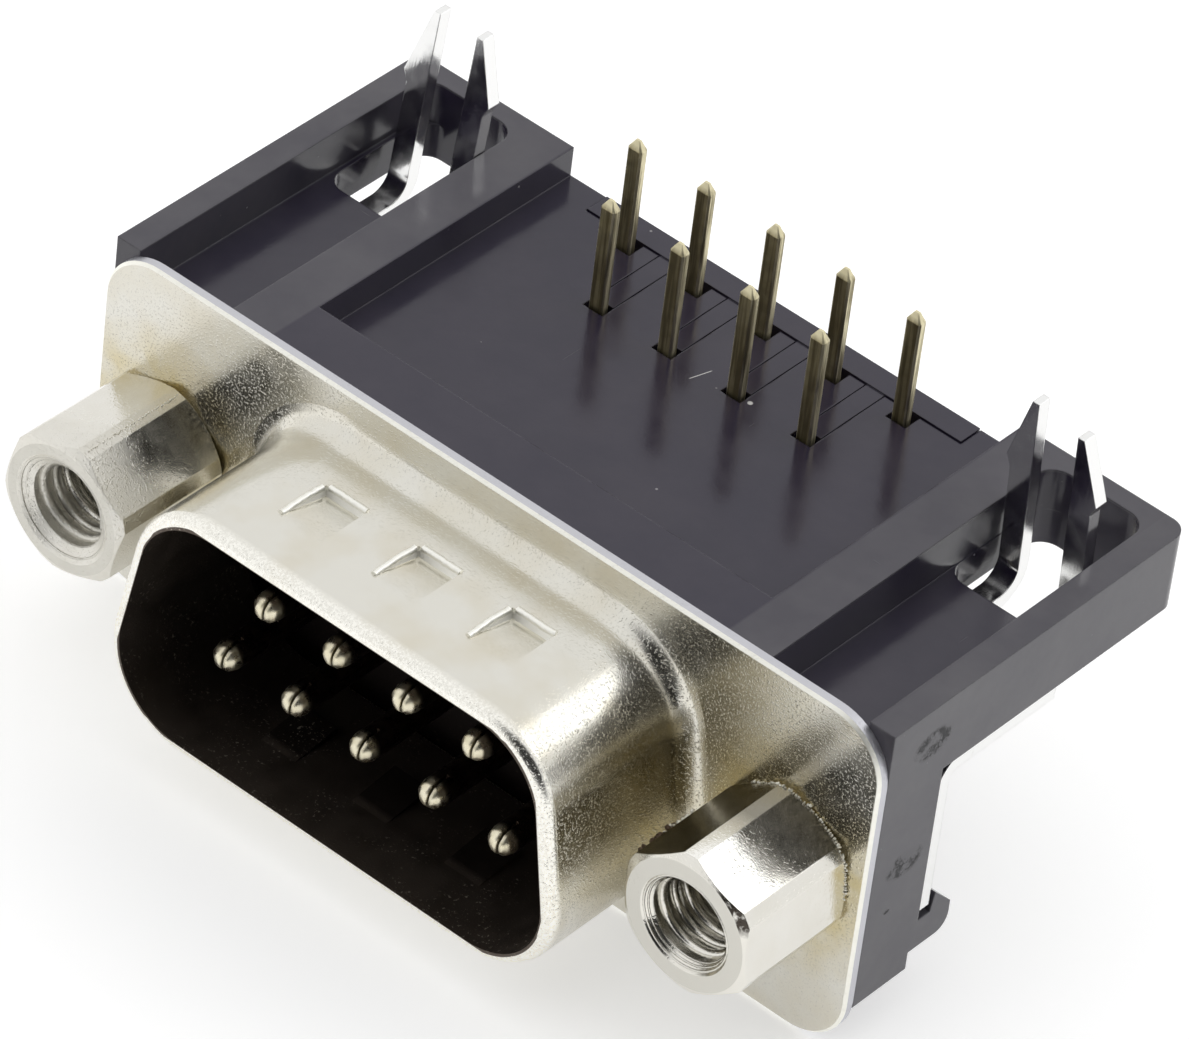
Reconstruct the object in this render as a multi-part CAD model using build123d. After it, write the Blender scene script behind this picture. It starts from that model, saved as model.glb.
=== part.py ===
from build123d import *
import math
import os

os.makedirs("parts", exist_ok=True)

# Nine-way D-subminiature plug for a circuit board, lying with its solder tails up.
# Millimetres. X runs along the flange, -Y is the mating direction, +Z is the board side.
# The origin is the middle of the flange's front face, on the plug's own axis.

# Steel shell and flange
screw_spacing = 24.99
flange_end = 2.91
flange_height = 12.55
flange_sheet = 0.38
flange_corner = 2.0
flange_edge = 0.1
flange_hole = 3.05
mouth_width = 16.92
mouth_height = 8.36
mouth_slant = 10.0
mouth_corner = 2.6
shell_reach = 6.15
shell_wall = 0.45
shell_root = 0.8
shell_lip = 0.4
skirt_seam = 0.3
dimple_count = 3
dimple_pitch = 3.72
dimple_shift = 0.14
dimple_width = 1.4
dimple_length = 1.9
dimple_depth = 0.26
dimple_back = 2.2
dimple_side = 0.13

# Contacts
contact_pitch = 2.77
row_spacing = 2.84
long_row_count = 5
pin_diameter = 1.0
pin_nose_steps = 3
pin_setback = 1.23
pin_slit = 0.1
pin_slit_depth = 0.9
pin_slit_offset = 0.1
tail_width = 0.56
tail_sheet = 0.36
tail_edge = 0.07
tail_point_height = 0.32
tail_point_width = 0.16
tail_bend = 0.6
front_tail_row = 9.9
tail_top = 9.25

# Insulator that holds the contacts in the shell
insulator_face = 0.3
insulator_fit = 0.06
insulator_half_width = 9.8
insulator_top = 4.6
insulator_bottom = 5.3

# Moulded housing
housing_rear = 14.12
seat_height = 6.2
slab_under = 3.35
wall_rear = 3.1
wall_foot = 4.5
window_gap = 0.05
housing_corner = 0.6
channel_reach_in = 1.795
channel_reach_out = 1.955
channel_rear = 13.4
channel_depth = 1.55
channel_corner = 0.75
lock_hole_half_width = 1.78
lock_hole_front = 8.65
lock_hole_corner = 0.7
rail_width = 1.7
recess_front = 2.45
recess_depth = 1.1
tail_slot = 0.78
tail_slot_gap = 0.1
stud_hole = 3.1
wall_step = 0.25
hook_reach = 1.55
hook_top = 2.0
hook_slot_floor = 2.7
hook_bottom = 3.85
hook_width = 5.2
hook_lip = 0.15
hook_round = 0.55
bracket_seat_gap = 0.05

# Comb that locks the tails in their slots
comb_half_width = 7.5
comb_strip = 0.92
comb_thickness = 0.95
comb_proud = 0.05
comb_gap = 0.04

# Bracket of each side: leg, strap and the two prongs of its board lock
bracket_sheet = 0.5
bracket_reach_in = 2.545
bracket_side_gap = 0.05
strap_seam = 1.5
bracket_foot = 2.4
bracket_bend = 0.4
strap_end = 8.45
lock_bend = 0.75
fork_gap = 1.5
fork_slot_front = 9.3
prong_width = 0.78
prong_tip = 0.25
prong_barb = 0.18
barb_step = 0.4
prong_root = 4.1
left_fork_row = 11.44
left_fork_shift = 0.15
left_fork_lean_in = 2.5
left_fork_lean_back = 3.6
left_inner_prong_top = 10.42
left_inner_prong_barb = 8.18
left_outer_prong_top = 10.42
left_outer_prong_barb = 7.83
right_fork_row = 11.32
right_fork_shift = 0.05
right_fork_lean_in = 0.8
right_fork_lean_back = -2.0
right_inner_prong_top = 10.45
right_inner_prong_barb = 8.0
right_outer_prong_top = 10.15
right_outer_prong_barb = 7.98
collar_diameter = 4.0
collar_length = 0.9
gusset_width = 0.7
gusset_size = 1.15
gusset_offset = 2.1

# Hexagonal jackscrews
hex_flats = 4.6
hex_bar = 5.04
hex_length = 4.6
hex_face = 4.45
screw_thread = 2.84
left_screw_mouth = 3.75
right_screw_mouth = 3.35
screw_mouth_depth = 0.3
screw_bore_depth = 3.9
screw_drill_point = 0.4
stud_length = 4.9
stud_end = 0.35
thread_clearance = 0.03
left_screw_turn = 17.0
right_screw_turn = 35.0

# Worked out from the sizes above
slant = math.radians(mouth_slant)
mouth_half_height = mouth_height / 2
mouth_middle = (
    mouth_width / 2
    - (mouth_half_height - mouth_corner) * math.tan(slant)
    + mouth_corner / math.cos(slant)
    - mouth_corner
)
screw_x = screw_spacing / 2
flange_width = screw_spacing + 2 * flange_end
housing_half_width = flange_width / 2
channel_inner = screw_x - channel_reach_in
channel_outer = screw_x + channel_reach_out
recess_half_width = channel_inner - rail_width
bracket_inner_edge = screw_x - bracket_reach_in
bracket_outer_edge = housing_half_width - bracket_side_gap
rear_tail_row = front_tail_row + row_spacing
insulator_rear = wall_rear
floor_height = seat_height - channel_depth
recess_floor = seat_height - recess_depth
comb_front = housing_rear - comb_strip
leg_rear = wall_rear + bracket_sheet
strap_under = slab_under - bracket_sheet
prong_outer = fork_gap / 2 + prong_width


def block(x, y, z):
    """A box between two limits along each axis."""
    centre = [(limits[0] + limits[1]) / 2 for limits in (x, y, z)]
    size = [limits[1] - limits[0] for limits in (x, y, z)]
    return Pos(*centre) * Box(*size)


def along_y(outline, front, rear):
    """Extrudes an outline drawn in X and Z from one depth to another."""
    return extrude(Plane.XZ.offset(-front) * outline, amount=front - rear)


def along_x(outline, left, right):
    """Extrudes an outline drawn in Y and Z from one side to the other."""
    return extrude(Plane.YZ.offset(left) * outline, amount=right - left)


def revolve_profile(points):
    """Turns an outline of radius and depth about the Y axis."""
    return revolve(make_face(Polyline(*points, close=True)), axis=Axis.Y)


def mouth_outline(grow):
    """The D of the mouth, grown outwards all round; its narrow side is up."""
    half_height = mouth_half_height + grow
    middle = mouth_middle + grow / math.cos(slant)
    lean = half_height * math.tan(slant)
    corners = [
        (-middle + lean, half_height),
        (middle - lean, half_height),
        (middle + lean, -half_height),
        (-middle - lean, -half_height),
    ]
    outline = make_face(Polyline(*corners, close=True))
    return fillet(outline.vertices(), mouth_corner + grow)


def part_at(body, depth):
    """Parts one bent piece at a depth, so that what bends round an opening stays open."""
    reach = flange_width + housing_rear
    front = body & Pos(0, depth - reach / 2, 0) * Box(2 * reach, reach, 2 * reach)
    rear = body & Pos(0, depth + reach / 2, 0) * Box(2 * reach, reach, 2 * reach)
    return front, rear


def write(shape, name):
    export_step(shape, "parts/" + name + ".step")


def shell():
    """Drawn steel shell: flange, D-shaped skirt and pressed-in earthing dimples."""
    plate = along_y(RectangleRounded(flange_width, flange_height, flange_corner), 0, flange_sheet)
    skirt = along_y(mouth_outline(shell_wall), -shell_reach, flange_sheet)
    body = plate + skirt
    root = [
        edge
        for edge in body.edges()
        if abs(edge.center().Y) < 1e-4 and abs(edge.center().Z) < flange_height / 2 - flange_corner / 2
        and abs(edge.center().X) < mouth_width / 2 + shell_wall + 0.2
    ]
    body = fillet(root, shell_root)
    body -= along_y(mouth_outline(0), -shell_reach, flange_sheet)
    throat = [
        edge
        for edge in body.edges()
        if abs(edge.center().Y - flange_sheet) < 1e-4 and abs(edge.center().X) < mouth_width / 2 + 0.2
        and abs(edge.center().Z) < mouth_half_height + 0.2
    ]
    body = chamfer(throat, shell_root)
    for side in (-1, 1):
        body -= along_y(Pos(side * screw_x, 0) * Circle(flange_hole / 2), 0, flange_sheet)
    lip = body.faces().sort_by(Axis.Y)[0].outer_wire().edges()
    body = fillet(lip, shell_lip)
    front = [face for face in body.faces() if abs(face.center().Y) < 1e-4][0]
    body = chamfer(front.outer_wire().edges(), flange_edge)
    for side in (-1, 1):
        for index in range(dimple_count):
            place = (index - (dimple_count - 1) / 2) * dimple_pitch + dimple_shift
            body = press_dimple(body, place, side)
    return body


def press_dimple(body, middle, side):
    """Presses a sloping pocket into the skirt, level at its mating end and proud inside."""
    inner = mouth_half_height
    outer = inner + shell_wall
    rear = -dimple_back
    front = rear - dimple_length
    half = dimple_width / 2 + dimple_side
    top = Plane(origin=(middle, (front + rear) / 2, side * outer))
    floor = Plane(origin=(middle, (front + rear) / 2, side * (outer - dimple_depth)))
    well = loft([
        floor * Rectangle(dimple_width, dimple_length),
        top * Rectangle(2 * half, dimple_length + 2 * dimple_side),
    ])
    slope = [
        (front, side * outer),
        (rear + dimple_length, side * outer),
        (rear + dimple_length, side * (outer - 2 * dimple_depth)),
    ]
    pocket = well & along_x(make_face(Polyline(*slope, close=True)), middle - half, middle + half)
    tongue = [(front, side * inner), (rear, side * (inner - dimple_depth)), (rear, side * inner)]
    proud = along_x(
        make_face(Polyline(*tongue, close=True)),
        middle - dimple_width / 2,
        middle + dimple_width / 2,
    )
    return body - pocket + proud


def insulator():
    """Moulded block: a D that fills the shell and a plate that backs the flange."""
    body = along_y(mouth_outline(-insulator_fit), insulator_face, insulator_rear)
    body += block(
        (-insulator_half_width, insulator_half_width),
        (flange_sheet, insulator_rear),
        (-insulator_bottom, insulator_top),
    )
    for x, z, _ in contact_places():
        body -= along_y(Pos(x, z) * Circle(pin_diameter / 2), insulator_face, insulator_rear)
    return body


def contact_places():
    """X and Z of each contact with the depth of its tail, numbered as on the real plug."""
    places = []
    for count, height, depth in (
        (long_row_count, -row_spacing / 2, rear_tail_row),
        (long_row_count - 1, row_spacing / 2, front_tail_row),
    ):
        for index in range(count):
            places.append((((count - 1) / 2 - index) * contact_pitch, height, depth))
    return places


def contact(x, z, depth):
    """A formed contact: a slit pin with a rounded nose, a flat tail bent up to the board."""
    tip = -shell_reach + pin_setback
    radius = pin_diameter / 2
    turns = [math.radians(90) * step / pin_nose_steps for step in range(pin_nose_steps + 1)]
    nose = [(radius * math.sin(turn), tip + radius - radius * math.cos(turn)) for turn in turns]
    pin = Pos(x, 0, z) * revolve_profile([*nose, (radius, insulator_rear), (0, insulator_rear)])
    slit = x + pin_slit_offset
    pin -= block(
        (slit - pin_slit / 2, slit + pin_slit / 2),
        (tip - radius, tip + pin_slit_depth),
        (z - radius, z + radius),
    )
    half = tail_sheet / 2
    shoulder = tail_top - tail_point_height
    profile = [
        (insulator_rear, z - half),
        (depth + half, z - half),
        (depth + half, shoulder),
        (depth - half, shoulder),
        (depth - half, z + half),
        (insulator_rear, z + half),
    ]
    outline = make_face(Polyline(*profile, close=True))
    outer = outline.vertices().sort_by_distance((depth + half, z - half, 0))[0]
    outline = fillet([outer], tail_bend + tail_sheet)
    inner = outline.vertices().sort_by_distance((depth - half, z + half, 0))[0]
    outline = fillet([inner], tail_bend)
    tail = along_x(outline, x - tail_width / 2, x + tail_width / 2)
    upright = [
        edge
        for edge in tail.edges().filter_by(Axis.Z)
        if edge.center().Z > seat_height / 2
    ]
    tail = chamfer(upright, tail_edge)
    top = tail.faces().sort_by(Axis.Z)[-1]
    crown = Plane(origin=(x, depth, tail_top)) * Rectangle(tail_point_width, tail_point_width / 2)
    tail += loft([top, crown], ruled=True)
    return pin + tail


def housing():
    """Moulded L: a slab that seats on the board and two legs behind the flange."""
    body = block(
        (-housing_half_width, housing_half_width),
        (flange_sheet, housing_rear),
        (slab_under, seat_height),
    )
    rear_corners = [
        edge
        for edge in body.edges().filter_by(Axis.Z)
        if edge.center().Y > housing_rear - 1e-4
    ]
    body = fillet(rear_corners, housing_corner)
    body += block(
        (-housing_half_width, housing_half_width),
        (flange_sheet, wall_rear),
        (-hook_bottom, seat_height),
    )
    body += block(
        (-housing_half_width, housing_half_width),
        (flange_sheet, wall_rear - wall_step),
        (-wall_foot, -hook_bottom),
    )
    window = insulator_half_width + window_gap
    body -= block((-window, window), (flange_sheet, wall_rear), (-wall_foot, insulator_top + window_gap))
    body -= block(
        (-recess_half_width, recess_half_width),
        (recess_front, housing_rear),
        (recess_floor, seat_height),
    )
    for side in (-1, 1):
        body -= channel(side)
        body -= along_y(Pos(side * screw_x, 0) * Circle(stud_hole / 2), flange_sheet, wall_rear)
        body += hook(side)
    body -= comb_seat(comb_gap)
    for x, _, depth in contact_places():
        body -= block(
            (x - tail_slot / 2, x + tail_slot / 2),
            (depth - tail_sheet / 2 - tail_slot_gap, housing_rear),
            (slab_under, recess_floor),
        )
    return body


def channel(side):
    """The trough beside a rail, with the through hole for the board lock."""
    width = channel_outer - channel_inner
    middle = side * (channel_inner + channel_outer) / 2
    trough = Pos(middle, (channel_rear + flange_sheet) / 2, floor_height) * extrude(
        Rectangle(width, channel_rear - flange_sheet), amount=channel_depth
    )
    rounded = [edge for edge in trough.edges().filter_by(Axis.Z) if edge.center().Y > channel_rear - 1e-4]
    trough = fillet(rounded, channel_corner)
    hole_length = channel_rear - lock_hole_front
    hole = Pos(side * screw_x, lock_hole_front + hole_length / 2, slab_under) * extrude(
        RectangleRounded(2 * lock_hole_half_width, hole_length, lock_hole_corner),
        amount=floor_height - slab_under,
    )
    return trough + hole


def hook(side):
    """The lip at the foot of a leg that holds the bracket's lower edge."""
    seat = leg_rear + bracket_seat_gap
    profile = [
        (wall_rear - hook_round, -hook_bottom),
        (wall_rear + hook_reach, -hook_bottom),
        (wall_rear + hook_reach, -hook_slot_floor - hook_lip),
        (seat + hook_lip, -hook_top),
        (seat, -hook_slot_floor),
        (wall_rear, -hook_slot_floor),
        (wall_rear - hook_round, -hook_slot_floor),
    ]
    outline = make_face(Polyline(*profile, close=True))
    lower = outline.vertices().sort_by_distance((wall_rear + hook_reach, -hook_bottom, 0))[0]
    outline = fillet([lower], hook_round)
    solid = along_x(outline, housing_half_width - hook_width, housing_half_width)
    return solid if side > 0 else mirror(solid, about=Plane.YZ)


def comb_seat(gap):
    """The space of the comb: its strip along the rear edge and its four fingers."""
    top = recess_floor + comb_proud
    low = recess_floor - comb_thickness
    space = block(
        (-comb_half_width - gap, comb_half_width + gap),
        (comb_front - gap, housing_rear),
        (low - gap, top),
    )
    for x, _, depth in contact_places():
        if depth == front_tail_row:
            space += block(
                (x - tail_slot / 2, x + tail_slot / 2),
                (depth, comb_front),
                (low - gap, top),
            )
    return space


def comb():
    """Snap-in comb: one strip and a finger behind each tail of the front row."""
    top = recess_floor + comb_proud
    low = recess_floor - comb_thickness
    body = block((-comb_half_width, comb_half_width), (comb_front, housing_rear), (low, top))
    for x, _, depth in contact_places():
        if depth == front_tail_row:
            body += block(
                (x - tail_slot / 2 + comb_gap, x + tail_slot / 2 - comb_gap),
                (depth + tail_sheet / 2 + tail_slot_gap, comb_front),
                (low, recess_floor),
            )
    return body


def bracket(side, row, shift, lean_in, lean_back, prongs):
    """Bent sheet: tapped leg, strap under the slab and the forked board lock."""
    fork_x = screw_x - shift
    fork_top = max(top for top, _ in prongs)
    plate_front = row - bracket_sheet / 2
    plate_rear = row + bracket_sheet / 2
    set_back = (fork_top - slab_under) * math.tan(math.radians(lean_back))
    fork_rear = max(plate_rear, plate_rear + set_back)
    profile = [
        (wall_rear, -bracket_foot),
        (leg_rear, -bracket_foot),
        (leg_rear, strap_under),
        (plate_rear, strap_under),
        (plate_rear + set_back, fork_top),
        (plate_front + set_back, fork_top),
        (plate_front, slab_under),
        (wall_rear, slab_under),
    ]
    outline = make_face(Polyline(*profile, close=True))
    for corner, radius in (
        ((leg_rear, strap_under), bracket_bend),
        ((wall_rear, slab_under), bracket_bend + bracket_sheet),
        ((plate_rear, strap_under), lock_bend + bracket_sheet),
        ((plate_front, slab_under), lock_bend),
    ):
        vertex = outline.vertices().sort_by_distance((corner[0], corner[1], 0))[0]
        outline = fillet([vertex], radius)
    body = along_x(outline, bracket_inner_edge, bracket_outer_edge)
    for limits in (
        (bracket_inner_edge, fork_x - prong_outer),
        (fork_x + prong_outer, bracket_outer_edge),
    ):
        body -= block(limits, (strap_end, fork_rear), (strap_under, prong_root))
    slot_length = fork_rear - fork_slot_front
    slot = Pos(fork_x, fork_slot_front + slot_length / 2, strap_under) * extrude(
        Rectangle(fork_gap, slot_length), amount=prong_root - strap_under
    )
    slot = fillet(slot.edges().filter_by(Axis.Z).group_by(Axis.Y)[0], fork_gap / 2.1)
    body -= slot
    waste = block((bracket_inner_edge, bracket_outer_edge), (strap_end, fork_rear), (prong_root, fork_top))
    for hand, (top, barb) in zip((-1, 1), prongs):
        outline = prong_outline(fork_x, lean_in, hand, top, barb)
        waste -= along_y(outline, strap_end, fork_rear)
    body -= waste
    body += along_y(Pos(screw_x, 0) * Circle(collar_diameter / 2), leg_rear, leg_rear + collar_length)
    body -= along_y(
        Pos(screw_x, 0) * Circle(screw_thread / 2 + thread_clearance),
        wall_rear,
        leg_rear + collar_length,
    )
    for offset in (-gusset_offset, gusset_offset):
        wedge = [
            (leg_rear, strap_under),
            (leg_rear + gusset_size, strap_under),
            (leg_rear, strap_under - gusset_size),
        ]
        rib = make_face(Polyline(*wedge, close=True))
        middle = screw_x + offset
        body += along_x(rib, middle - gusset_width / 2, middle + gusset_width / 2)
    return body if side > 0 else mirror(body, about=Plane.YZ)


def prong_outline(fork_x, lean_in, hand, top, barb):
    """One barbed prong of the fork, seen from the front, leaning towards the plug's middle."""
    inner = fork_gap / 2
    lean = math.tan(math.radians(lean_in))
    points = [
        (inner, prong_root),
        (prong_outer, prong_root),
        (prong_outer, barb - barb_step),
        (prong_outer + prong_barb, barb),
        (inner + prong_tip, top),
        (inner, top),
    ]
    placed = [(fork_x + hand * x - lean * (z - prong_root), z) for x, z in points]
    return make_face(Polyline(*placed, close=True))


def jackscrew(side, turn, mouth):
    """Turned hexagon with a tapped mouth in front and a stud behind."""
    outline = Rot(0, 0, turn) * RegularPolygon(hex_flats / 2, 6, major_radius=False)
    outline = outline & Circle(hex_bar / 2)
    body = along_y(outline, -hex_length, 0)
    cone = revolve_profile(
        [
            (0, -hex_length),
            (hex_face / 2, -hex_length),
            (hex_flats, -hex_length + (hex_flats - hex_face / 2) * math.tan(math.radians(30))),
            (hex_flats, -(hex_flats - hex_face / 2) * math.tan(math.radians(30))),
            (hex_face / 2, 0),
            (0, 0),
        ]
    )
    body = body & cone
    body += revolve_profile(
        [
            (0, 0),
            (screw_thread / 2, 0),
            (screw_thread / 2, stud_length - stud_end),
            (screw_thread / 2 - stud_end, stud_length),
            (0, stud_length),
        ]
    )
    body -= revolve_profile(
        [
            (0, -hex_length),
            (mouth / 2, -hex_length),
            (screw_thread / 2, -hex_length + screw_mouth_depth),
            (screw_thread / 2, -hex_length + screw_bore_depth),
            (0, -hex_length + screw_bore_depth + screw_drill_point),
        ]
    )
    return Pos(side * screw_x, 0, 0) * body


pressing = shell()
skirt, flange = part_at(pressing, -skirt_seam)
write(flange, "shell")
write(skirt, "skirt")
write(insulator(), "insulator")
write(housing(), "housing")
write(comb(), "tail_comb")
for number, place in enumerate(contact_places(), start=1):
    write(contact(*place), "pin_" + str(number))
left_prongs = (
    (left_inner_prong_top, left_inner_prong_barb),
    (left_outer_prong_top, left_outer_prong_barb),
)
right_prongs = (
    (right_inner_prong_top, right_inner_prong_barb),
    (right_outer_prong_top, right_outer_prong_barb),
)
left_fork = (left_fork_row, left_fork_shift, left_fork_lean_in, left_fork_lean_back)
right_fork = (right_fork_row, right_fork_shift, right_fork_lean_in, right_fork_lean_back)
for side, fork, prongs, name in (
    (-1, left_fork, left_prongs, "left"),
    (1, right_fork, right_prongs, "right"),
):
    leg, lock = part_at(bracket(side, *fork, prongs), insulator_rear + strap_seam)
    write(leg, "bracket_" + name)
    write(lock, "lock_" + name)
write(jackscrew(-1, left_screw_turn, left_screw_mouth), "jackscrew_left")
write(jackscrew(1, right_screw_turn, right_screw_mouth), "jackscrew_right")
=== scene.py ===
import math

import bmesh
import bpy
from mathutils import Matrix, Vector


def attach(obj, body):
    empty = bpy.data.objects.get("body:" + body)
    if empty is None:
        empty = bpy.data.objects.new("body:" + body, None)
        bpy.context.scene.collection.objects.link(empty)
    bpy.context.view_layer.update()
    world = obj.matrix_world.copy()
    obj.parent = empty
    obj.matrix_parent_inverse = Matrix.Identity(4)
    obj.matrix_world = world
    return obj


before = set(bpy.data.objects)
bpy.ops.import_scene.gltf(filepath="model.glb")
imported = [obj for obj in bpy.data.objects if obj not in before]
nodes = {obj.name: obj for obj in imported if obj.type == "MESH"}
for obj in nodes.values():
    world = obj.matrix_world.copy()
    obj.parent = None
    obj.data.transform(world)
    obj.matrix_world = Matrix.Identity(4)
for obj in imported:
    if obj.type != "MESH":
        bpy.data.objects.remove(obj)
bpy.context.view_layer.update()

# Camera: a long lens looking down at the plug from the front right,
# turned a little about its own axis as in the photograph.
photo_width_pixels = 1191.0
focal_length_pixels = 8924.45
camera_data = bpy.data.cameras.new("camera")
camera_data.sensor_width = 36.0
camera_data.lens = focal_length_pixels * camera_data.sensor_width / photo_width_pixels
camera_data.clip_start = 0.01
camera_data.clip_end = 10.0
camera = bpy.data.objects.new("camera", camera_data)
bpy.context.scene.collection.objects.link(camera)
camera_right = Vector((0.7489326, 0.6553760, 0.0978892))
camera_up = Vector((-0.4821215, 0.4375785, 0.7590020))
camera_back = Vector((0.4545975, -0.6156358, 0.6436876))
camera_place = Vector((0.1223963, -0.1602367, 0.1750301))
camera.matrix_world = Matrix((
    (camera_right.x, camera_up.x, camera_back.x, camera_place.x),
    (camera_right.y, camera_up.y, camera_back.y, camera_place.y),
    (camera_right.z, camera_up.z, camera_back.z, camera_place.z),
    (0.0, 0.0, 0.0, 1.0),
))
bpy.context.scene.camera = camera
bpy.context.scene.view_settings.view_transform = "Standard"

# Studio: a white tabletop under the flange's lower edge, and a white tent round it
# with one dim opening at the front right, which the bright metal mirrors as dark bands.
table_height = -0.00628
table_half = 1.5
table_white = 0.8
table_lift = 0.45
table_mesh = bpy.data.meshes.new("tabletop")
table_mesh.from_pydata(
    [
        (-table_half, -table_half, table_height),
        (table_half, -table_half, table_height),
        (table_half, table_half, table_height),
        (-table_half, table_half, table_height),
    ],
    [],
    [(0, 1, 2, 3)],
)
table = bpy.data.objects.new("tabletop", table_mesh)
bpy.context.scene.collection.objects.link(table)
table_material = bpy.data.materials.new("white_tabletop")
table_material.use_nodes = True
tree = table_material.node_tree
tree.nodes.clear()
paths = tree.nodes.new("ShaderNodeLightPath")
seen = tree.nodes.new("ShaderNodeMath")
seen.operation = "MAXIMUM"
seen_or_mirrored = tree.nodes.new("ShaderNodeMath")
seen_or_mirrored.operation = "MAXIMUM"
matte = tree.nodes.new("ShaderNodeBsdfDiffuse")
matte.inputs["Color"].default_value = (table_white, table_white, table_white, 1.0)
lift = tree.nodes.new("ShaderNodeEmission")
lift.inputs["Color"].default_value = (1.0, 1.0, 1.0, 1.0)
lift.inputs["Strength"].default_value = table_lift
lifted = tree.nodes.new("ShaderNodeAddShader")
choice = tree.nodes.new("ShaderNodeMixShader")
table_out = tree.nodes.new("ShaderNodeOutputMaterial")
tree.links.new(paths.outputs["Is Camera Ray"], seen.inputs[0])
tree.links.new(paths.outputs["Is Glossy Ray"], seen.inputs[1])
tree.links.new(seen.outputs[0], seen_or_mirrored.inputs[0])
tree.links.new(paths.outputs["Is Transmission Ray"], seen_or_mirrored.inputs[1])
tree.links.new(matte.outputs[0], lifted.inputs[0])
tree.links.new(lift.outputs[0], lifted.inputs[1])
tree.links.new(seen_or_mirrored.outputs[0], choice.inputs[0])
tree.links.new(matte.outputs[0], choice.inputs[1])
tree.links.new(lifted.outputs[0], choice.inputs[2])
tree.links.new(choice.outputs[0], table_out.inputs["Surface"])
table_mesh.materials.append(table_material)

tent_level = 1.0
tent_opening_level = 0.03
tent_opening_middle = (0.62, -0.70, 0.36)
tent_opening_edge = math.radians(52)
tent_opening_core = math.radians(32)
tent = bpy.data.worlds.new("white_tent")
bpy.context.scene.world = tent
tent.use_nodes = True
tree = tent.node_tree
direction = tree.nodes.new("ShaderNodeTexCoord")
towards_opening = tree.nodes.new("ShaderNodeVectorMath")
towards_opening.operation = "DOT_PRODUCT"
towards_opening.inputs[1].default_value = Vector(tent_opening_middle).normalized()
opening_edge = tree.nodes.new("ShaderNodeMapRange")
opening_edge.interpolation_type = "SMOOTHSTEP"
opening_edge.inputs["From Min"].default_value = math.cos(tent_opening_edge)
opening_edge.inputs["From Max"].default_value = math.cos(tent_opening_core)
opening_edge.inputs["To Min"].default_value = tent_level
opening_edge.inputs["To Max"].default_value = tent_opening_level
tree.links.new(direction.outputs["Generated"], towards_opening.inputs[0])
tree.links.new(towards_opening.outputs["Value"], opening_edge.inputs["Value"])
tree.links.new(opening_edge.outputs[0], tree.nodes["Background"].inputs["Strength"])
tree.nodes["Background"].inputs["Color"].default_value = (1.0, 1.0, 1.0, 1.0)

softbox_side = 0.28
softbox_watts = 0.35
softbox_place = Vector((0.31, 0.42, 0.46))
softbox_data = bpy.data.lights.new("softbox", "AREA")
softbox_data.shape = "RECTANGLE"
softbox_data.size = softbox_side
softbox_data.size_y = softbox_side
softbox_data.energy = softbox_watts
softbox = bpy.data.objects.new("softbox", softbox_data)
bpy.context.scene.collection.objects.link(softbox)
softbox.location = softbox_place
softbox.rotation_euler = (-softbox_place).to_track_quat("-Z", "Y").to_euler()


# Shell: flange and D-shaped skirt, one drawn steel pressing, nickel plated.
# The plate is satin and a little yellow, with a fine orange-peel grain that sparkles
# where it mirrors something dark, and a duller film round the screws.
def new_finish(name, colour, metal, roughness):
    """A material whose plain values sit on the shader; returns it with its tree and shader."""
    material = bpy.data.materials.new(name)
    material.use_nodes = True
    shader = material.node_tree.nodes["Principled BSDF"]
    shader.inputs["Base Color"].default_value = (*colour, 1.0)
    shader.inputs["Metallic"].default_value = metal
    shader.inputs["Roughness"].default_value = roughness
    return material, material.node_tree, shader


def on_part(tree, stretch=(1.0, 1.0, 1.0), turn=0.0):
    """Object coordinates of the part, in metres, stretched, and turned about Z."""
    place = tree.nodes.new("ShaderNodeTexCoord")
    mapping = tree.nodes.new("ShaderNodeMapping")
    mapping.inputs["Scale"].default_value = stretch
    mapping.inputs["Rotation"].default_value = (0.0, 0.0, turn)
    tree.links.new(place.outputs["Object"], mapping.inputs["Vector"])
    return mapping.outputs["Vector"]


def mottle(tree, where, size, detail=2.0, roughness=0.5):
    """Noise whose blotches are about `size` metres across; returns a value from 0 to 1."""
    noise = tree.nodes.new("ShaderNodeTexNoise")
    noise.inputs["Scale"].default_value = 1.0 / size
    noise.inputs["Detail"].default_value = detail
    noise.inputs["Roughness"].default_value = roughness
    tree.links.new(where, noise.inputs["Vector"])
    return noise.outputs["Fac"]


def between(tree, value, low, high, at_low=0.0, at_high=1.0):
    """Maps a range of a value onto another, clamped at both ends."""
    mapped = tree.nodes.new("ShaderNodeMapRange")
    mapped.inputs["From Min"].default_value = low
    mapped.inputs["From Max"].default_value = high
    mapped.inputs["To Min"].default_value = at_low
    mapped.inputs["To Max"].default_value = at_high
    tree.links.new(value, mapped.inputs["Value"])
    return mapped.outputs["Result"]


def combine(tree, first, second, operation):
    """One arithmetic step on two values or sockets."""
    step = tree.nodes.new("ShaderNodeMath")
    step.operation = operation
    for socket, value in zip(step.inputs, (first, second)):
        if hasattr(value, "default_value"):
            tree.links.new(value, socket)
        else:
            socket.default_value = value
    return step.outputs[0]


def tint(tree, amount, first, second):
    """A colour that goes from the first to the second as the amount goes from 0 to 1."""
    mix = tree.nodes.new("ShaderNodeMix")
    mix.data_type = "RGBA"
    colours = [socket for socket in mix.inputs if socket.type == "RGBA"]
    for socket, colour in zip(colours, (first, second)):
        if hasattr(colour, "default_value"):
            tree.links.new(colour, socket)
        else:
            socket.default_value = (*colour, 1.0)
    tree.links.new(amount, mix.inputs["Factor"])
    return [socket for socket in mix.outputs if socket.type == "RGBA"][0]


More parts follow.
